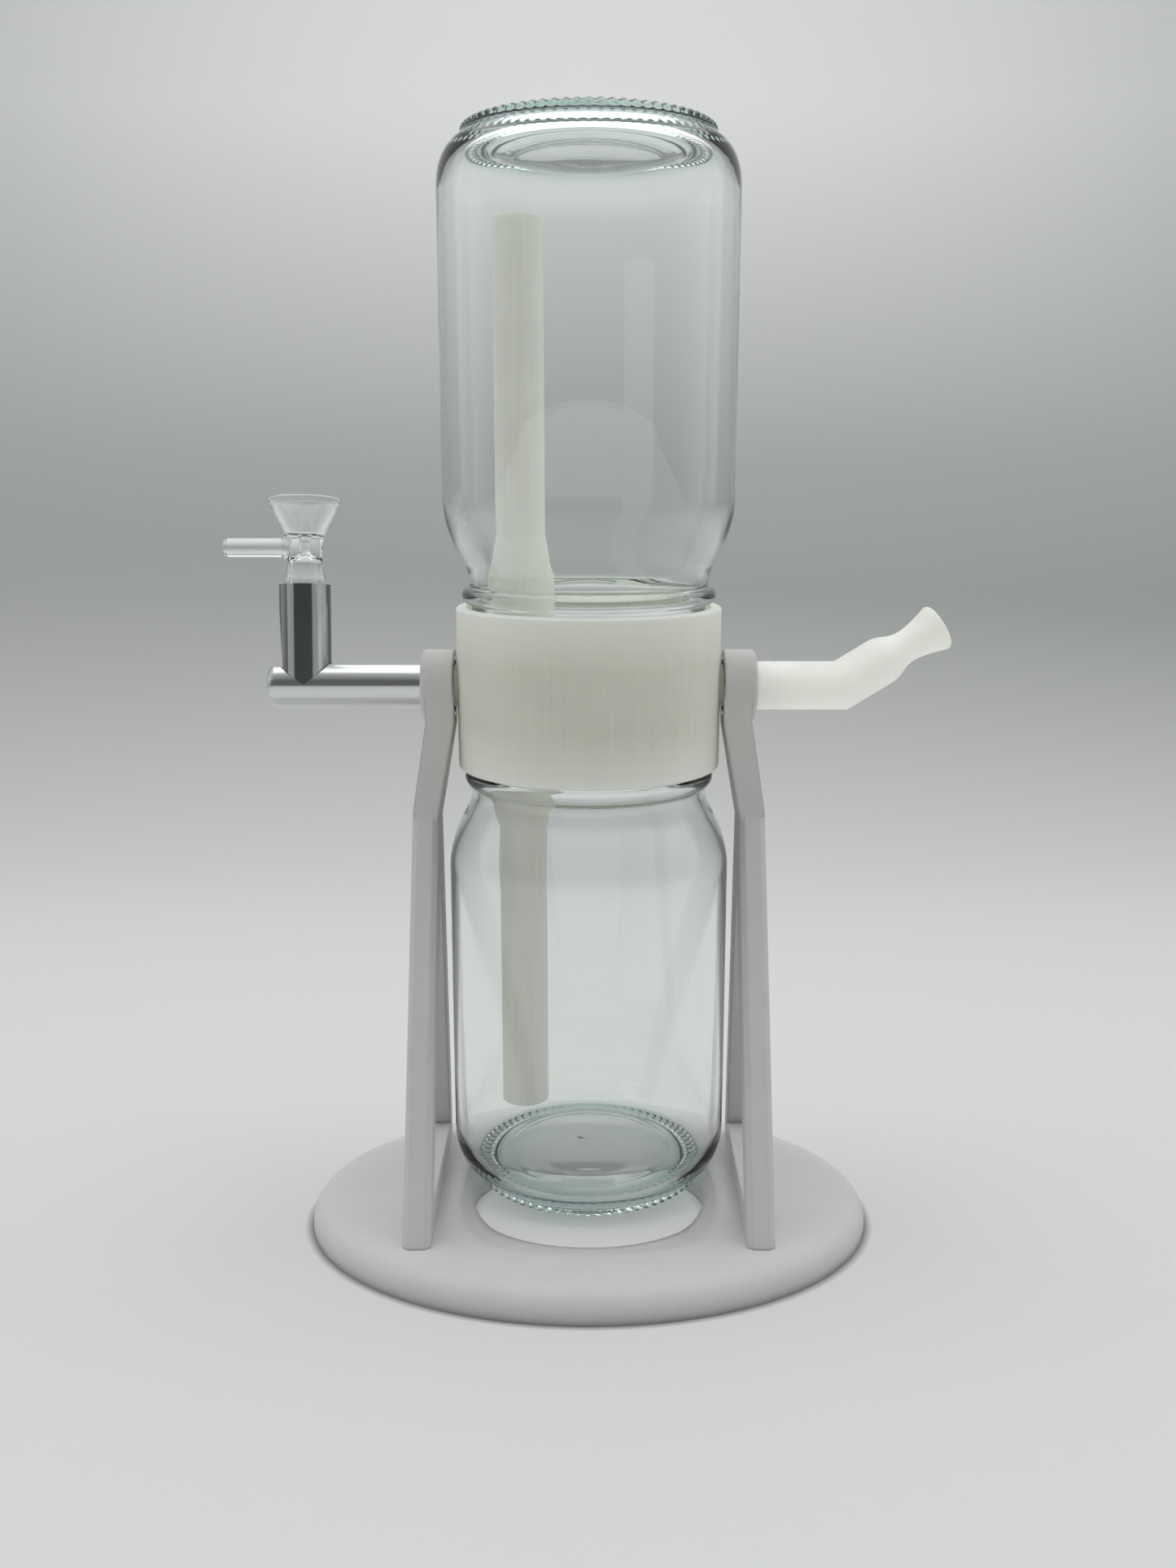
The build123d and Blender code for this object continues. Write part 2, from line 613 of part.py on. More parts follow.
with BuildPart() as mouthpiece:
    with BuildSketch(Plane.YZ.offset(mouth_start)):
        with Locations((0, axle_height)):
            Circle(mouth_r)
    with BuildLine():
        Polyline((mouth_start, 0, axle_height), bend_point,
                 slope_face.from_local_coords(Vector(low, 0, 0)))
    sweep(transition=Transition.RIGHT)
    # Waist and lip, turned about the sloping centre line.
    with BuildSketch(slope_face):
        with BuildLine():
            Line((low, 0), (low, mouth_r))
            Spline((low, mouth_r), (slope_len - waist_at, waist_r), (slope_len - lip_round, lip_r),
                   tangents=[waist_slope, flare_slope])
            ThreePointArc((slope_len - lip_round, lip_r), (slope_len, lip_r - lip_round),
                          (slope_len - lip_round, lip_r - 2 * lip_round))
            Polyline((slope_len - lip_round, lip_r - 2 * lip_round), (slope_len - lip_round, 0), (low, 0))
        make_face()
    revolve(axis=slope_axis)
    # Air passage, with a wider socket for the trunnion and the spindle's plug.
    with BuildSketch(Plane.YZ.offset(mouth_start)):
        with Locations((0, axle_height)):
            Circle(plug_r["outlet"])
    extrude(amount=socket_depth, mode=Mode.SUBTRACT)
    with BuildSketch(Plane.YZ.offset(mouth_start)):
        with Locations((0, axle_height)):
            Circle(mouth_bore_r)
    with BuildLine():
        Polyline((mouth_start, 0, axle_height), bend_point,
                 slope_face.from_local_coords(Vector(slope_len, 0, 0)))
    sweep(transition=Transition.RIGHT, mode=Mode.SUBTRACT)
save(mouthpiece, "mouthpiece")
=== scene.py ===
import json
import math

import bmesh
import bpy
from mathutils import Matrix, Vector


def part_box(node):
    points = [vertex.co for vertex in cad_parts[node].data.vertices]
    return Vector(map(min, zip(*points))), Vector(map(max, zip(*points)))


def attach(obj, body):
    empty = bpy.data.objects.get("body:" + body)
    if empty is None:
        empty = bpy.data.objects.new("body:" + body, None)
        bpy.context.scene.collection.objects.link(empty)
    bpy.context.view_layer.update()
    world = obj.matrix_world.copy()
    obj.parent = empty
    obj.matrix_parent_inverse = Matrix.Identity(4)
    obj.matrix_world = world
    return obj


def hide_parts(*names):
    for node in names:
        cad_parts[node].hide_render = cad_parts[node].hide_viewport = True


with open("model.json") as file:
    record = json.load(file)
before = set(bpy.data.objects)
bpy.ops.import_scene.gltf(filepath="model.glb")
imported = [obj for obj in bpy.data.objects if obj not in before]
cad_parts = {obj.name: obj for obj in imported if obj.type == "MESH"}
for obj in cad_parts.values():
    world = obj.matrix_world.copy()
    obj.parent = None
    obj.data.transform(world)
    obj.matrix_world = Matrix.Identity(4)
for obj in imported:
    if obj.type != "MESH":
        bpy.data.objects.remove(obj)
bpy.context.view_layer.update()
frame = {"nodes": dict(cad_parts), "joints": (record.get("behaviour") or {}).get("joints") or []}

# Rotating two-jar gravity water pipe. Outlines are in millimetres, everything else in metres.
MM = 0.001
joints = {joint["name"]: joint for joint in frame["joints"]}
axle = Vector(joints["rotor_turn"]["pos_m"])
rotor_up = Vector(joints["upper_jar_twist"]["axis"]).normalized()
along_axle = Vector((1, 0, 0))
straight_up = Vector((0, 0, 1))
into_depth = Vector((0, 1, 0))


# ------------------------------------------------------------------ shader sums and finishes
# Numbers of the colour sockets of a Mix node.
MIX_FACTOR = 0
MIX_FIRST = 6
MIX_SECOND = 7
MIX_RESULT = 2


class Value:
    """A number in a shader that takes part in ordinary sums."""

    def __init__(self, finish, socket):
        self.finish = finish
        self.socket = socket

    def sum_with(self, operation, *terms):
        return self.finish.node("ShaderNodeMath", {"operation": operation}, dict(enumerate(terms)))

    def __add__(self, other):
        return self.sum_with("ADD", self, other)

    def __sub__(self, other):
        return self.sum_with("SUBTRACT", self, other)

    def __rsub__(self, other):
        return self.sum_with("SUBTRACT", other, self)

    def __mul__(self, other):
        return self.sum_with("MULTIPLY", self, other)

    def __truediv__(self, other):
        return self.sum_with("DIVIDE", self, other)

    def __pow__(self, other):
        return self.sum_with("POWER", self, other)

    def __abs__(self):
        return self.sum_with("ABSOLUTE", self)

    def sine(self):
        return self.sum_with("SINE", self)

    def clamped(self):
        return self.finish.node("ShaderNodeClamp", {}, {"Value": self})


class Finish:
    """A material, or the room's own shader, under construction."""

    def __init__(self, owner):
        owner.use_nodes = True
        self.owner = owner
        self.tree = owner.node_tree
        self.tree.nodes.clear()

    def node(self, kind, settings, inputs, out=0):
        """Makes a node: its settings first, then its sockets' values or links."""
        made = self.tree.nodes.new(kind)
        for key, value in settings.items():
            setattr(made, key, value)
        for key, value in inputs.items():
            if isinstance(value, Value):
                self.tree.links.new(value.socket, made.inputs[key])
            else:
                made.inputs[key].default_value = value
        return Value(self, made.outputs[out])

    def place(self):
        return self.node("ShaderNodeTexCoord", {}, {}, "Object")

    def axes(self, place=None):
        """The three numbers of a place, or of the point being shaded."""
        split = self.node("ShaderNodeSeparateXYZ", {}, {"Vector": place or self.place()})
        return [Value(self, output) for output in split.socket.node.outputs]

    def turned_place(self, origin, x_dir, z_dir):
        """Object coordinates seen from another origin, with the given directions as X and Z."""
        y_dir = z_dir.cross(x_dir)
        moved = self.node("ShaderNodeVectorMath", {"operation": "SUBTRACT"},
                          {0: self.place(), 1: origin})
        parts = []
        for direction in (x_dir, y_dir, z_dir):
            parts.append(self.node("ShaderNodeVectorMath", {"operation": "DOT_PRODUCT"},
                                   {0: moved, 1: direction}, "Value"))
        return parts

    def joined(self, x, y, z):
        return self.node("ShaderNodeCombineXYZ", {}, {0: x, 1: y, 2: z})

    def noise(self, place, scale, detail=2.0, roughness=0.5):
        return self.node("ShaderNodeTexNoise", {}, {"Vector": place, "Scale": scale,
                                                    "Detail": detail, "Roughness": roughness})

    def mix(self, factor, first, second):
        """Blends two colours."""
        settings = {"data_type": "RGBA", "clamp_factor": True}
        sockets = {MIX_FACTOR: factor, MIX_FIRST: first, MIX_SECOND: second}
        return self.node("ShaderNodeMix", settings, sockets, MIX_RESULT)

    def bump(self, height, depth, base=None):
        inputs = {"Height": height, "Distance": depth, "Strength": 1.0}
        if base:
            inputs["Normal"] = base
        return self.node("ShaderNodeBump", {}, inputs)

    def surface(self, sockets, volume=None, lets_light_by=0.0):
        """Ends the material. Clear pieces let part of the light straight by, so their shadows are pale."""
        links = {"Surface": self.node("ShaderNodeBsdfPrincipled", {}, sockets)}
        if lets_light_by:
            shadow = self.node("ShaderNodeLightPath", {}, {}, "Is Shadow Ray")
            clear = self.node("ShaderNodeBsdfTransparent", {}, {"Color": (0.99, 0.995, 0.993, 1)})
            blend = {0: shadow * lets_light_by, 1: links["Surface"], 2: clear}
            links["Surface"] = self.node("ShaderNodeMixShader", {}, blend)
        if volume:
            links["Volume"] = volume
        self.end("ShaderNodeOutputMaterial", links)
        return self.owner

    def end(self, kind, links):
        """Adds the output node that the shader ends in."""
        made = self.tree.nodes.new(kind)
        for key, value in links.items():
            self.tree.links.new(value.socket, made.inputs[key])


def new_finish(name):
    return Finish(bpy.data.materials.new(name))


def layer_lines(height, spacing):
    """Wave from 0 to 1 that repeats with a print's layers."""
    return (height * (2 * math.pi / spacing)).sine() * 0.5 + 0.5


stand_layer = 0.2 * MM
clear_layer = 0.3 * MM


def matte_print(name, edge):
    """White matte printed plastic: fine layers across Z, faint mottling, softened edges."""
    finish = new_finish(name)
    place = finish.place()
    layers = layer_lines(finish.axes(place)[2], stand_layer)
    mottle = finish.noise(place, 60.0, 4.0, 0.6)
    grain = finish.noise(place, 2500.0, 2.0, 0.6)
    colour = finish.mix(mottle, (0.69, 0.675, 0.668, 1), (0.75, 0.735, 0.728, 1))
    rounding = finish.node("ShaderNodeBevel", {"samples": 6}, {"Radius": edge})
    height = layers * 0.35 + grain * 0.65
    return finish.surface({"Base Color": colour, "Roughness": mottle * 0.12 + 0.62,
                           "Specular IOR Level": 0.3,
                           "Normal": finish.bump(height, 0.03 * MM, rounding)})


def natural_print(name, light, dark, layer_dir, streaks, glow, clear, rough, shadow_pass,
                  painted_glow_strength, painted_rim_light_share, relief):
    """Translucent natural printed plastic, with layers across one direction and silky streaks. It glows
    faintly in its own colour with painted light, and its ends can be lightened with painted light coming
    through the thin rims.
    """
    finish = new_finish(name)
    u, v, w = finish.turned_place(axle, along_axle, layer_dir)
    layers = layer_lines(w, clear_layer)
    fine = finish.noise(finish.joined(u * 900.0, v * 900.0, w * 25.0), 1.0, 3.0, 0.6)
    broad = finish.noise(finish.joined(u * 45.0, v * 45.0, w * 60.0), 1.0, 3.0, 0.55)
    crackle = finish.noise(finish.joined(u, v, w), 1400.0, 3.0, 0.65)
    shade = (broad * 0.55 + fine * streaks + 0.22 - 0.5 * streaks).clamped()
    colour = finish.mix(shade, dark, light)
    # Painted light: lighter, streaky bands towards both ends along the layer direction, as if light came
    # through the thin rims.
    rim = ((abs(w) - 10.0 * MM) / (16.0 * MM)).clamped() * painted_rim_light_share
    bands = finish.noise(finish.joined(u * 8.0, v * 8.0, w * 260.0), 1.0, 2.0, 0.5)
    colour = finish.mix(rim * (bands * 0.5 + 0.5), colour, (0.93, 0.94, 0.90, 1))
    height = layers * 0.3 + fine * 0.6 * streaks + crackle * 0.5
    # Painted glow: the plastic emits light in its own colour, so it looks lit from within.
    return finish.surface({"Base Color": colour, "Roughness": crackle * 0.16 + rough,
                           "Subsurface Weight": glow, "Subsurface Radius": (1.0, 0.95, 0.8),
                           "Subsurface Scale": 4.0 * MM, "Transmission Weight": clear, "IOR": 1.46,
                           "Emission Color": colour, "Emission Strength": painted_glow_strength,
                           "Normal": finish.bump(height, relief)}, None, shadow_pass)


def moulded_glass(name, tint, density, waviness, thick_from, thick_to, thick_tint):
    """Clear glass whose thick parts turn teal, with the slow ripple that moulding leaves."""
    finish = new_finish(name)
    u, v, w = finish.turned_place(axle, along_axle, rotor_up)
    place = finish.joined(u * 40.0, v * 40.0, w * 14.0)
    ripple = finish.noise(place, 1.0, 2.0, 0.4)
    cloud = finish.noise(finish.joined(u, v, w), 25.0, 2.0, 0.5)
    colour = finish.mix(cloud, (0.972, 0.98, 0.978, 1), (0.988, 0.995, 0.993, 1))
    share = ((abs(w) - thick_from) / (thick_to - thick_from)).clamped()
    streak = finish.noise(finish.joined(u * 30.0, v * 30.0, w * 220.0), 1.0, 3.0, 0.6)
    colour = finish.mix(share * (streak * 1.6).clamped(), colour, thick_tint)
    volume = finish.node("ShaderNodeVolumeAbsorption", {}, {"Color": tint, "Density": density})
    return finish.surface({"Base Color": colour, "Roughness": cloud * 0.01,
                           "Transmission Weight": 1.0, "IOR": 1.5,
                           "Normal": finish.bump(ripple, waviness)}, volume, 0.97)


def turned_metal(name, centre, long_dir, colour, painted_reflection_depth, painted_reflection_count, painted_reflection_matte):
    """Bright metal tube with painted reflections: soft dark bands, set by the angle round the tube, darken
    its colour and lower its metal share; fine lines run along it, with faint clouding from handling.
    """
    finish = new_finish(name)
    u, v, w = finish.turned_place(centre, into_depth, long_dir)
    turn = finish.node("ShaderNodeMath", {"operation": "ARCTAN2"}, {0: v, 1: u})
    wobble = finish.noise(finish.joined(u * 500.0, v * 500.0, w * 4.0), 1.0, 2.0, 0.5)
    # Painted reflection: bands round the tube stand in for the dark parts of the room mirrored in the
    # metal.
    drift = (turn * 7.0).sine() * 0.8
    bands = ((turn * painted_reflection_count + drift + wobble * 1.5).sine() * 1.6 + 0.6).clamped()
    lines = finish.noise(finish.joined(u * 2600.0, v * 2600.0, w * 40.0), 1.0, 3.0, 0.6)
    cloud = finish.noise(finish.joined(u, v, w), 90.0, 4.0, 0.6)
    # Colour of the dark painted reflection bands.
    dark = tuple(part * 0.30 for part in colour[:3]) + (1.0,)
    shade = finish.mix(bands * painted_reflection_depth + cloud * 0.10 + lines * 0.08, colour, dark)
    # In the light stripes of the painted reflection the metal share drops, so they read as grey.
    return finish.surface({"Base Color": shade, "Metallic": 1.0 - (1.0 - bands) * painted_reflection_matte,
                           "Roughness": cloud * 0.10 + lines * 0.05 + 0.10,
                           "Normal": finish.bump(lines, 0.001 * MM)})


def bearing_metal():
    finish = new_finish("bearing_steel")
    cloud = finish.noise(finish.place(), 400.0, 3.0, 0.5)
    return finish.surface({"Base Color": finish.mix(cloud, (0.45, 0.45, 0.46, 1), (0.62, 0.62, 0.63, 1)),
                           "Metallic": 1.0, "Roughness": cloud * 0.15 + 0.15,
                           "Normal": finish.bump(cloud, 0.01 * MM)})


def moulded_cage():
    finish = new_finish("cage")
    cloud = finish.noise(finish.place(), 900.0, 3.0, 0.5)
    return finish.surface({"Base Color": finish.mix(cloud, (0.03, 0.03, 0.03, 1), (0.07, 0.07, 0.07, 1)),
                           "Roughness": cloud * 0.2 + 0.45, "Normal": finish.bump(cloud, 0.02 * MM)})


def soft_seal():
    finish = new_finish("gasket")
    cloud = finish.noise(finish.place(), 300.0, 3.0, 0.5)
    return finish.surface({"Base Color": finish.mix(cloud, (0.66, 0.68, 0.65, 1), (0.74, 0.75, 0.72, 1)),
                           "Roughness": cloud * 0.2 + 0.5, "Normal": finish.bump(cloud, 0.02 * MM)})


def dress(node, material):
    """Gives a CAD node its finish."""
    mesh = frame["nodes"][node].data
    mesh.materials.clear()
    mesh.materials.append(material)


# ------------------------------------------------------------------ outlines and turned pieces
def arc(centre, radius, start, end, steps):
    """Points of an arc in a (radius, height) outline, angles in degrees."""
    points = []
    for step in range(steps + 1):
        angle = math.radians(start + (end - start) * step / steps)
        points.append((centre[0] + radius * math.cos(angle), centre[1] + radius * math.sin(angle)))
    return points


def bend(first, pull_first, pull_last, last, steps):
    """Points of a smooth bend from first to last, drawn towards the two pull points."""
    points = []
    for step in range(steps + 1):
        t = step / steps
        weights = ((1 - t) ** 3, 3 * t * (1 - t) ** 2, 3 * t ** 2 * (1 - t), t ** 3)
        corners = (first, pull_first, pull_last, last)
        points.append(tuple(sum(w * c[k] for w, c in zip(weights, corners)) for k in (0, 1)))
    return points


def turned(outline, foot, up, steps):
    """Spins a closed (radius, height) outline in millimetres about an axis through foot."""
    shell = bmesh.new()
    side = along_axle if abs(up.dot(along_axle)) < 0.5 else into_depth
    ring = []
    for radius, height in outline:
        ring.append(shell.verts.new(foot + side * (radius * MM) + up * (height * MM)))
    edges = [shell.edges.new((a, b)) for a, b in zip(ring, ring[1:] + ring[:1])]
    bmesh.ops.spin(shell, geom=ring + edges, cent=foot, axis=up, dvec=(0, 0, 0),
                   angle=2 * math.pi, steps=steps, use_merge=True)
    bmesh.ops.remove_doubles(shell, verts=shell.verts, dist=1e-6)
    loose = [edge for edge in shell.edges if not edge.link_faces]
    bmesh.ops.delete(shell, geom=loose, context="EDGES")
    bmesh.ops.recalc_face_normals(shell, faces=shell.faces)
    return shell


def finished(name, shell, material):
    """Turns a bmesh into a smooth-shaded object with its finish."""
    mesh = bpy.data.meshes.new(name)
    for face in shell.faces:
        face.smooth = True
    shell.to_mesh(mesh)
    shell.free()
    piece = bpy.data.objects.new(name, mesh)
    bpy.context.scene.collection.objects.link(piece)
    mesh.materials.append(material)
    return piece


# ------------------------------------------------------------------ jars
# Millimetres. Heights are measured from the axle, along the jars.
jar_r = 49.3
inner_r = 47.3
mouth_r = 38.0
finish_r = 40.2
rim_round = 1.1
jar_foot_at = 180.0
ridge_at = 20.25
ridge_half_h = 1.3
ridge_out = 1.1
ridge_span = math.radians(50.0)
ridge_run_out = math.radians(3.0)
knurl_count = 72
knurl_steps = 5
knurl_from = 177.4
knurl_height = 0.8
knurl_inside = 35.6
knurl_outside = 41.6


def jar_outline():
    """Half section of the glass, from the rim over the bead, shoulder and foot, and back inside."""
    points = arc((finish_r - rim_round, 13.1), rim_round, 180, 360, 6)
    points += [(finish_r, 16.0)]
    points += [(finish_r, 18.8 + 0.4 * step) for step in range(8)]
    points += [(finish_r, 28.3)]
    points += bend((finish_r, 28.9), (42.8, 28.6), (43.6, 30.0), (43.4, 31.5), 5)[1:]
    points += bend((43.4, 31.5), (43.4, 33.4), (42.2, 34.2), (40.9, 34.1), 5)[1:]
    points += bend((40.7, 35.0), (40.7, 37.5), (41.6, 40.4), (42.6, 42.4), 5)
    points += bend((42.6, 42.4), (45.6, 48.2), (jar_r, 54.4), (jar_r, 64.0), 12)[1:]
    points += [(jar_r, height) for height in (80.0, 100.0, 120.0, 140.0, 158.0)]
    points += bend((jar_r, 162.0), (jar_r, 169.4), (46.6, 174.2), (42.0, 176.8), 12)
    points += bend((41.4, 177.5), (41.0, 179.0), (40.0, jar_foot_at), (38.4, jar_foot_at), 5)
    points += bend((38.4, jar_foot_at), (36.9, jar_foot_at), (36.2, 178.9), (34.6, 177.6), 4)[1:]
    points += bend((33.0, 176.8), (31.6, 176.2), (30.6, 176.0), (29.6, 176.0), 3)
    points += bend((28.6, 175.2), (20.0, 173.2), (10.0, 172.8), (0.0, 172.8), 6)
    points += bend((0.0, 169.6), (10.0, 169.6), (20.0, 170.2), (27.6, 171.8), 6)
    points += bend((29.2, 172.6), (31.6, 173.6), (33.6, 174.6), (35.6, 174.8), 4)
    points += bend((37.6, 174.4), (43.8, 173.2), (inner_r, 168.8), (inner_r, 160.0), 10)
    points += [(inner_r, height) for height in (140.0, 120.0, 100.0, 80.0)]
    points += bend((inner_r, 64.0), (inner_r, 56.0), (43.0, 49.6), (40.2, 43.4), 12)
    points += bend((40.2, 43.4), (38.9, 40.9), (mouth_r, 38.4), (mouth_r, 36.0), 4)[1:]
    points += [(mouth_r, 30.0), (mouth_r, 22.0)]
    return points


def around(vert, up):
    """Height along the jar and radius of a point in millimetres, its angle and its outward direction."""
    offset = vert.co - axle
    height = offset.dot(up) / MM
    across = offset - up * (height * MM)
    turn = math.atan2(across.dot(up.cross(along_axle)), across.dot(along_axle))
    return height, across.length / MM, turn, across.normalized()


def knurl(shell, up):
    """Raises the row of small bumps on the standing ring."""
    for vert in shell.verts:
        height, radius, turn, outward = around(vert, up)
        if height > knurl_from and knurl_inside < radius < knurl_outside:
            wave = 0.5 + 0.5 * math.cos(knurl_count * turn)
            share = min(1.0, (height - knurl_from) / 1.6) * min(1.0, (knurl_outside - radius) / 0.8)
            vert.co += (up * 0.5 + outward) * (wave * knurl_height * share * MM)


def twist_ridges(shell, up):
    """Four raised ridges round the finish, which the coupling's lugs hold."""
    for vert in shell.verts:
        height, radius, turn, outward = around(vert, up)
        if abs(height - ridge_at) < ridge_half_h + 0.05 and abs(radius - finish_r) < 0.5:
            gap = abs((turn + math.pi / 4) % (math.pi / 2) - math.pi / 4)
            share = min(1.0, max(0.0, (ridge_span / 2 - gap) / ridge_run_out))
            bulge = max(0.0, 1 - ((height - ridge_at) / ridge_half_h) ** 2)
            vert.co += outward * (ridge_out * share * bulge * MM)


def make_jar(name, node, up, material):
    shell = turned(jar_outline(), axle, up, knurl_count * knurl_steps)
    knurl(shell, up)
    twist_ridges(shell, up)
    piece = finished(name, shell, material)
    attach(piece, node)
    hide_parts(node)


jar_glass = moulded_glass("jar_glass", (0.25, 0.76, 0.70, 1), 6.0, 0.06 * MM,
                          173.5 * MM, 178.5 * MM, (0.45, 0.70, 0.68, 1))
for end, direction in (("upper", rotor_up), ("lower", -rotor_up)):
    make_jar(f"{end}_jar_glass", f"{end}_jar", direction, jar_glass)


# ------------------------------------------------------------------ bowl
bowl_low, bowl_high = (Vector(corner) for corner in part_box("glass_bowl"))
bowl_middle_y = (bowl_low.y + bowl_high.y) / 2
rim_radius = (bowl_high.y - bowl_low.y) / 2
bowl_steps = 72
handle_steps = 40
handle_r = 3.2
handle_at = 47.6              # above the axle, both in millimetres
bowl_foot = Vector((bowl_high.x - rim_radius, bowl_middle_y, axle.z))


def make_bowl():
    """Drawn glass bowl: a conical cup over a pinched neck and a hollow ground stem."""
    outline = [(1.3, 51.5), (3.6, 51.5), (4.9, 52.0)]
    outline += bend((5.2, 52.6), (7.2, 56.6), (9.6, 60.8), (11.75, 63.6), 6)
    outline += arc((12.25, 63.75), 0.5, 170, -20, 5)
    outline += bend((12.4, 62.9), (10.4, 59.2), (8.4, 55.0), (7.0, 51.2), 6)
    outline += bend((6.7, 50.0), (6.3, 49.0), (6.1, 47.4), (5.9, 45.3), 5)
    outline += bend((5.9, 43.6), (6.0, 40.2), (6.6, 37.6), (7.0, 35.9), 6)
    outline += [(7.0, 34.9), (6.2, 18.0), (5.95, 13.9), (5.4, 13.5)]
    outline += [(4.5, 13.6), (4.6, 20.0), (4.7, 34.0), (4.4, 41.6)]
    outline += bend((4.3, 43.6), (3.6, 45.0), (2.2, 43.8), (1.3, 45.4), 6)
    outline += [(1.3, 47.0), (1.3, 49.2)]
    return turned(outline, bowl_foot, straight_up, bowl_steps)


drawn_glass = moulded_glass("bowl_glass", (0.80, 0.90, 0.88, 1), 5.0, 0.03 * MM,
                            200.0 * MM, 300.0 * MM, (0.97, 0.98, 0.98, 1))
bowl = finished("glass_bowl_cup", make_bowl(), drawn_glass)
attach(bowl, "bowl")
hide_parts("glass_bowl")


def make_handle():
    """Solid glass rod, melted onto the neck and rounded at its end."""
    reach = (bowl_foot.x - bowl_low.x) / MM
    outline = [(0.0, reach), (1.6, reach - 0.15)] + arc((handle_r - 1.0, reach - 1.2), 1.0, 75, 0, 4)
    outline += [(handle_r, reach - 6.0), (handle_r, 12.0), (3.25, 9.0)]
    outline += bend((3.3, 8.2), (3.6, 7.2), (4.0, 6.6), (4.3, 6.1), 3)
    outline += [(3.6, 5.2), (0.0, 5.0)]
    foot = bowl_foot + straight_up * (handle_at * MM)
    return turned(outline, foot, -along_axle, handle_steps)


handle = finished("glass_bowl_handle", make_handle(), drawn_glass)
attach(handle, "bowl")

# ------------------------------------------------------------------ finishes of the CAD nodes
dress("base_plate", matte_print("base_print", 7.0 * MM))
white = matte_print("white_print", 1.4 * MM)
for node in ("left_support", "right_support"):
    dress(node, white)
# The coupling has painted light at its ends and a faint painted glow; the down tubes and mouthpiece have a
# stronger painted glow.
coupling_finish = natural_print("coupling_print", (0.80, 0.81, 0.715, 1), (0.66, 0.675, 0.58, 1),
                                rotor_up, streaks=0.8, glow=0.7, clear=0.0, rough=0.38,
                                shadow_pass=0.5, painted_glow_strength=0.06, painted_rim_light_share=0.9, relief=0.05 * MM)
tube_finish = natural_print("down_tube_print", (0.90, 0.905, 0.85, 1), (0.78, 0.785, 0.73, 1),
                            rotor_up, streaks=1.0, glow=0.5, clear=0.1, rough=0.4,
                            shadow_pass=0.6, painted_glow_strength=0.13, painted_rim_light_share=0.0, relief=0.12 * MM)
mouth_finish = natural_print("mouth_print", (0.96, 0.965, 0.93, 1), (0.88, 0.885, 0.85, 1),
                             straight_up, streaks=1.0, glow=0.6, clear=0.4, rough=0.22,
                             shadow_pass=0.5, painted_glow_strength=0.13, painted_rim_light_share=0.0, relief=0.20 * MM)
dress("coupling_body", coupling_finish)
for node in ("upper_down_tube", "lower_down_tube"):
    dress(node, tube_finish)
for node in ("mouthpiece", "inlet_valve_spindle", "outlet_valve_spindle"):
    dress(node, mouth_finish)
# Both tubes carry painted reflection bands; the sleeve's are deeper, more numerous and partly matte.
tube_metal = turned_metal("tube_aluminium", axle, along_axle, (0.79, 0.80, 0.81, 1),
                          painted_reflection_depth=0.25, painted_reflection_count=3.0, painted_reflection_matte=0.0)
sleeve_metal = turned_metal("sleeve_aluminium", bowl_foot, straight_up, (0.88, 0.90, 0.92, 1),
                            painted_reflection_depth=0.85, painted_reflection_count=6.0, painted_reflection_matte=0.4)
dress("inlet_tube", tube_metal)
dress("joint_sleeve", sleeve_metal)
steel = bearing_metal()
cage_plastic = moulded_cage()
for side in ("left", "right"):
    for part in ("outer_race", "inner_race", "balls"):
        dress(f"{side}_bearing_{part}", steel)
    dress(f"{side}_bearing_cage", cage_plastic)
seal = soft_seal()
for end in ("upper", "lower"):
    dress(f"{end}_jar_gasket", seal)


# ------------------------------------------------------------------ stage, light and camera
sweep_width = 6.0
sweep_front = -2.5
sweep_turn = 0.95
sweep_radius = 0.55
sweep_height = 3.0
base_low, base_high = (Vector(corner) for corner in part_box("base_plate"))
base_radius = (base_high.x - base_low.x) / 2
# Width of the painted shadow ring round the base's edge on the paper.
painted_shadow_reach = 3.0 * MM
# Size and soft edge of the painted glow on the paper inside the base's hole.
hole_glow_radius = 44.0 * MM
hole_glow_edge = 4.0 * MM


def make_sweep():
    """Pale floor that curves up into a wall."""
    shell = bmesh.new()
    points = [(sweep_front, 0.0), (sweep_turn, 0.0)]
    for step in range(1, 25):
        angle = math.radians(90 * step / 24)
        points.append((sweep_turn + sweep_radius * math.sin(angle),
                       sweep_radius * (1 - math.cos(angle))))
    points.append((sweep_turn + sweep_radius, sweep_height))
    row = [shell.verts.new((-sweep_width / 2, y, z)) for y, z in points]
    edges = [shell.edges.new(pair) for pair in zip(row, row[1:])]
    moved = bmesh.ops.extrude_edge_only(shell, edges=edges)["geom"]
    new_verts = [item for item in moved if isinstance(item, bmesh.types.BMVert)]
    bmesh.ops.translate(shell, verts=new_verts, vec=(sweep_width, 0, 0))
    bmesh.ops.recalc_face_normals(shell, faces=shell.faces)
    return shell


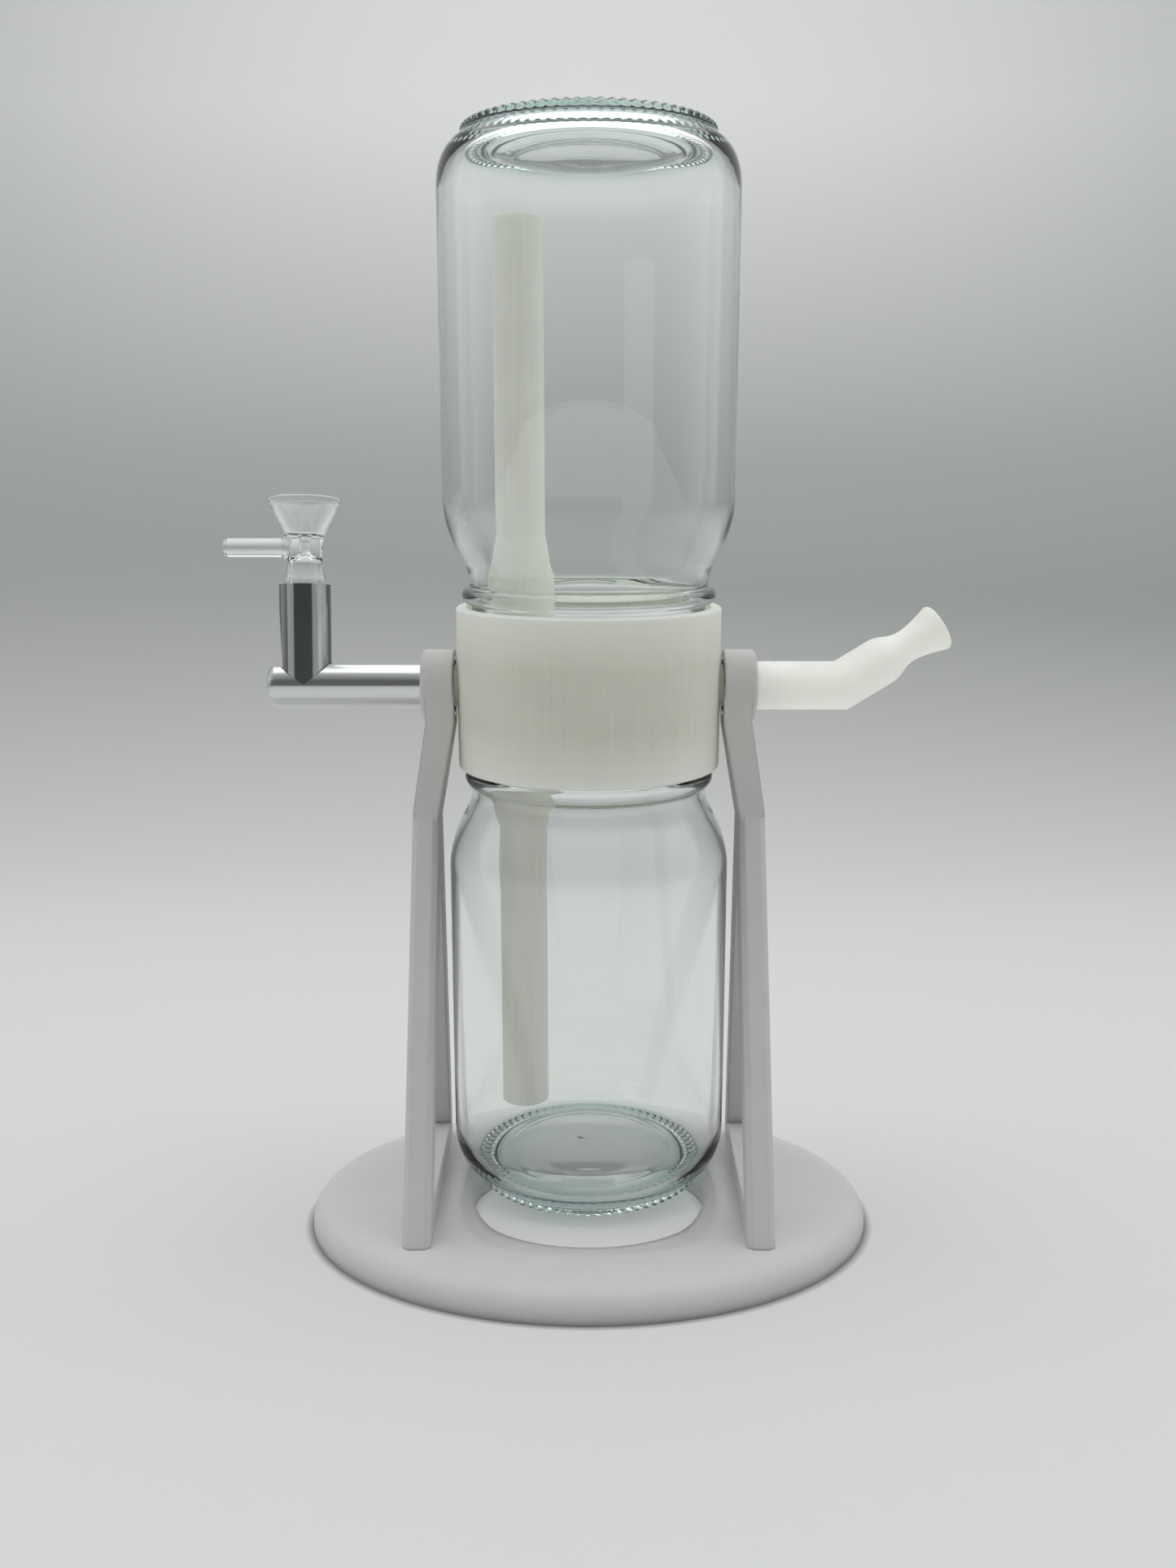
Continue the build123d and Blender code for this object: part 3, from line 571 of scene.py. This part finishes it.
def sweep_paper():
    """Pale paper with painted light and shade: painted shade darkens it up the wall, a painted pool of
    light brightens a patch high in the middle, a painted glow rises up the wall, a painted shadow darkens
    a thin ring under the base's edge, and a faint painted glow lights it inside the base's hole."""
    finish = new_finish("stage_paper")
    x, y, z = finish.axes()
    # Painted shade: the paper darkens up the wall, faster on the right.
    wall = (z * (x * 0.7 + 2.9)).clamped()
    mottle = finish.node("ShaderNodeTexNoise", {}, {"Vector": finish.place(), "Scale": 1.2})
    # Painted pool of light: a brighter patch high on the wall in the middle.
    lit = (1.0 - ((x * x) * 1.6).clamped()) * ((z - 0.50) * 2.2).clamped()
    colour = finish.mix(wall, (0.78, 0.785, 0.775, 1), (0.52, 0.54, 0.535, 1))
    colour = finish.mix(lit * 0.75 + mottle * 0.02, colour, (0.86, 0.87, 0.86, 1))
    from_middle = (x * x + y * y) ** 0.5
    # Painted shadow: a dark ring on the paper just round the base's edge, where it meets the floor.
    painted_base_shadow = (1.0 - abs(from_middle - base_radius) / painted_shadow_reach).clamped()
    colour = finish.mix(painted_base_shadow * 0.75, colour, (0.12, 0.12, 0.12, 1))
    # Painted glow: the paper emits more light the higher up the wall it is.
    high = ((z - 0.33) * 1.5).clamped()
    glow = finish.mix(high, (0, 0, 0, 1), (0.262, 0.266, 0.262, 1))
    # Painted light: the paper inside the base's hole glows a little, as if lit through it.
    painted_hole_glow = ((hole_glow_radius - from_middle) / hole_glow_edge).clamped()
    glow = finish.mix(painted_hole_glow, glow, (0.085, 0.085, 0.085, 1))
    return finish.surface({"Base Color": colour, "Roughness": 0.9, "Specular IOR Level": 0.1,
                           "Emission Color": glow, "Emission Strength": 1.0})


sweep = finished("stage_sweep", make_sweep(), sweep_paper())


def area_light(name, place, target, width, height, power):
    lamp = bpy.data.lights.new(name, "AREA")
    lamp.shape = "RECTANGLE"
    lamp.size = width
    lamp.size_y = height
    lamp.energy = power
    holder = bpy.data.objects.new(name, lamp)
    holder.location = place
    holder.rotation_euler = (Vector(target) - Vector(place)).to_track_quat("-Z", "Y").to_euler()
    bpy.context.scene.collection.objects.link(holder)


area_light("top_box", (0.0, 0.1, 1.7), (0, 0, axle.z), width=2.2, height=1.7, power=12.0)


def room(front, far, strength):
    """Soft room light: bright overhead and beyond the object, dark behind the camera."""
    world = bpy.data.worlds.new("room")
    bpy.context.scene.world = world
    sky = Finish(world)
    x, y, z = sky.axes(sky.node("ShaderNodeTexCoord", {}, {}, "Generated"))
    share = ((y + z * 1.1 + 0.55) / 1.15).clamped() ** 1.3
    colour = sky.mix(share, front, far)
    glow = sky.node("ShaderNodeBackground", {}, {"Color": colour, "Strength": strength})
    sky.end("ShaderNodeOutputWorld", {"Surface": glow})


room((0.145, 0.15, 0.15, 1), (0.97, 0.985, 0.98, 1), strength=0.80)

sensor_size = 36.0            # millimetres, as is the lens
lens = 32.6933
eye = Vector((-0.00027, -0.49691, 0.18085))
eye_dip = math.radians(3.416)
camera_data = bpy.data.cameras.new("camera")
camera_data.sensor_width = sensor_size
camera_data.lens = lens
camera = bpy.data.objects.new("camera", camera_data)
camera.location = eye
camera.rotation_euler = (math.pi / 2 - eye_dip, 0, 0)
bpy.context.scene.collection.objects.link(camera)
bpy.context.scene.camera = camera
bpy.context.scene.view_settings.view_transform = "Standard"
